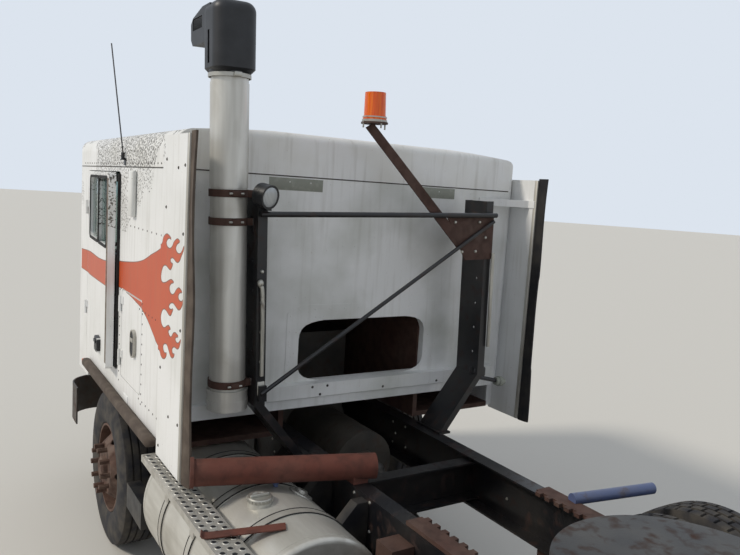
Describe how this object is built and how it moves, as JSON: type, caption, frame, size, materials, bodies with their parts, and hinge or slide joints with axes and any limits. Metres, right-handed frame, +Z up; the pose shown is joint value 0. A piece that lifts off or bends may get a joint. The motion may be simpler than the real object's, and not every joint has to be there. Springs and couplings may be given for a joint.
{
  "type": "cab-over semi truck tractor",
  "caption": "Cab-over sleeper tractor unit with twin-tyred drive axles, fifth wheel, a round fuel tank on the left, intake stack and a rear work rack; cab tilts, doors open, wheels steer and roll.",
  "frame": {"origin": "on the ground under the middle of the whole vehicle", "axes": "+Z up, the truck faces -Y, its left side is +X"},
  "size_m": [2.44, 6.08, 3.2787],
  "materials": {
    "cab_paint": "weathered cream-white enamel, chalky, with peeling and rust specks",
    "frame_paint": "black chassis paint, dusty, rusting at edges",
    "rusty_steel": "bare steel with brown rust",
    "wheel_steel": "rusty painted steel",
    "plate_steel": "greasy worn casting",
    "aluminium": "dull, brushed, dusty aluminium",
    "floor_paint": "dull grey paint",
    "black_plastic": "sun-faded black plastic",
    "amber_plastic": "translucent amber",
    "rubber_trim": "weathered black rubber",
    "clear_glass": "lightly tinted",
    "lamp_glass": "lamp housings",
    "engine_iron": "oily and dusty iron",
    "seat_cloth": "worn cloth",
    "dash_plastic": "dark trim",
    "tyre_rubber": "dusty black",
    "whip_steel": "thin steel whip"
  },
  "bodies": {
    "chassis": {"frame": "frame_paint", "engine_block": "engine_iron", "radiator": "engine_iron", "driveline": "engine_iron", "front_axle": "frame_paint", "leaf_springs": "rusty_steel", "rear_axles": "frame_paint", "fifth_wheel_base": "rusty_steel", "fuel_tank_left": "aluminium", "tank_deck_left": "aluminium", "cross_tube": "rusty_steel", "rack_post_left": "frame_paint", "rack_post_right": "frame_paint", "rack_tubes": "frame_paint", "air_stack": "aluminium", "air_inlet": "black_plastic", "work_lamp": "black_plastic", "beacon_bar": "rusty_steel", "beacon_lamp": "amber_plastic", "bumper": "rusty_steel"},
    "cab": {"cab_floor": "floor_paint", "side_wall_left": "cab_paint", "side_wall_right": "cab_paint", "front_wall": "cab_paint", "windscreen": "clear_glass", "grille": "aluminium", "rear_wall": "cab_paint", "roof": "cab_paint", "extender_left": "cab_paint", "extender_right": "cab_paint", "rubber_trims": "rubber_trim", "headlamps": "lamp_glass", "seats": "seat_cloth", "dashboard": "dash_plastic", "bunk": "seat_cloth", "antenna": "whip_steel"},
    "left_door": {"door_left": "cab_paint", "door_glass_left": "clear_glass"},
    "right_door": {"door_right": "cab_paint", "door_glass_right": "clear_glass"},
    "left_luggage_door": {"luggage_door_left": "cab_paint"},
    "right_luggage_door": {"luggage_door_right": "cab_paint"},
    "left_knuckle": {"knuckle_left": "rusty_steel"},
    "right_knuckle": {"knuckle_right": "rusty_steel"},
    "steering_rod": {"tie_rod": "rusty_steel"},
    "saddle_plate": {"fifth_wheel_plate": "plate_steel"},
    "left_front_wheel": {"wheel_front_left": "wheel_steel", "tyre_front_left": "tyre_rubber"},
    "right_front_wheel": {"wheel_front_right": "wheel_steel", "tyre_front_right": "tyre_rubber"},
    "left_drive_wheels": {"wheels_drive_left": "wheel_steel", "tyres_drive_left": "tyre_rubber"},
    "right_drive_wheels": {"wheels_drive_right": "wheel_steel", "tyres_drive_right": "tyre_rubber"},
    "left_rear_wheels": {"wheels_rear_left": "wheel_steel", "tyres_rear_left": "tyre_rubber"},
    "right_rear_wheels": {"wheels_rear_right": "wheel_steel", "tyres_rear_right": "tyre_rubber"}
  },
  "joints": [
    {"name": "cab_tilt", "type": "hinge", "parent": "chassis", "child": "cab", "pos_m": [0, -2.894, 0.86], "axis": [1, 0, 0], "range_deg": [0, 50]},
    {"name": "left_door_hinge", "type": "hinge", "parent": "cab", "child": "left_door", "pos_m": [1.132, -2.557, 1.8], "axis": [0, 0, -1], "range_deg": [-4, 66]},
    {"name": "right_door_hinge", "type": "hinge", "parent": "cab", "child": "right_door", "pos_m": [-1.132, -2.557, 1.8], "axis": [0, 0, 1], "range_deg": [0, 70]},
    {"name": "left_luggage_hinge", "type": "hinge", "parent": "cab", "child": "left_luggage_door", "pos_m": [1.132, -1.445, 1.4765], "axis": [0, 0, -1], "range_deg": [0, 95]},
    {"name": "right_luggage_hinge", "type": "hinge", "parent": "cab", "child": "right_luggage_door", "pos_m": [-1.132, -1.445, 1.4765], "axis": [0, 0, 1], "range_deg": [0, 95]},
    {"name": "left_steer", "type": "hinge", "parent": "chassis", "child": "left_knuckle", "pos_m": [0.885, -1.694, 0.508], "axis": [0, 0, 1], "range_deg": [-30, 30]},
    {"name": "right_steer", "type": "hinge", "parent": "chassis", "child": "right_knuckle", "pos_m": [-0.885, -1.694, 0.508], "axis": [0, 0, 1], "range_deg": [-30, 30]},
    {"name": "tie_rod_pivot", "type": "hinge", "parent": "left_knuckle", "child": "steering_rod", "pos_m": [0.885, -1.534, 0.368], "axis": [0, 0, 1], "range_deg": [-30, 30]},
    {"name": "left_front_spin", "type": "hinge", "parent": "left_knuckle", "child": "left_front_wheel", "pos_m": [1.015, -1.694, 0.508], "axis": [1, 0, 0], "continuous": true},
    {"name": "right_front_spin", "type": "hinge", "parent": "right_knuckle", "child": "right_front_wheel", "pos_m": [-1.015, -1.694, 0.508], "axis": [1, 0, 0], "continuous": true},
    {"name": "left_drive_spin", "type": "hinge", "parent": "chassis", "child": "left_drive_wheels", "pos_m": [0.9175, 1.206, 0.508], "axis": [1, 0, 0], "continuous": true},
    {"name": "right_drive_spin", "type": "hinge", "parent": "chassis", "child": "right_drive_wheels", "pos_m": [-0.9175, 1.206, 0.508], "axis": [1, 0, 0], "continuous": true},
    {"name": "left_rear_spin", "type": "hinge", "parent": "chassis", "child": "left_rear_wheels", "pos_m": [0.9175, 2.526, 0.508], "axis": [1, 0, 0], "continuous": true},
    {"name": "right_rear_spin", "type": "hinge", "parent": "chassis", "child": "right_rear_wheels", "pos_m": [-0.9175, 2.526, 0.508], "axis": [1, 0, 0], "continuous": true},
    {"name": "saddle_pitch", "type": "hinge", "parent": "chassis", "child": "saddle_plate", "pos_m": [0, 1.756, 1.165], "axis": [1, 0, 0], "range_deg": [-8, 8]}
  ],
  "couplings": [
    {"joint": "right_steer", "follows": "left_steer", "ratio": 1},
    {"joint": "tie_rod_pivot", "follows": "left_steer", "ratio": -1}
  ]
}
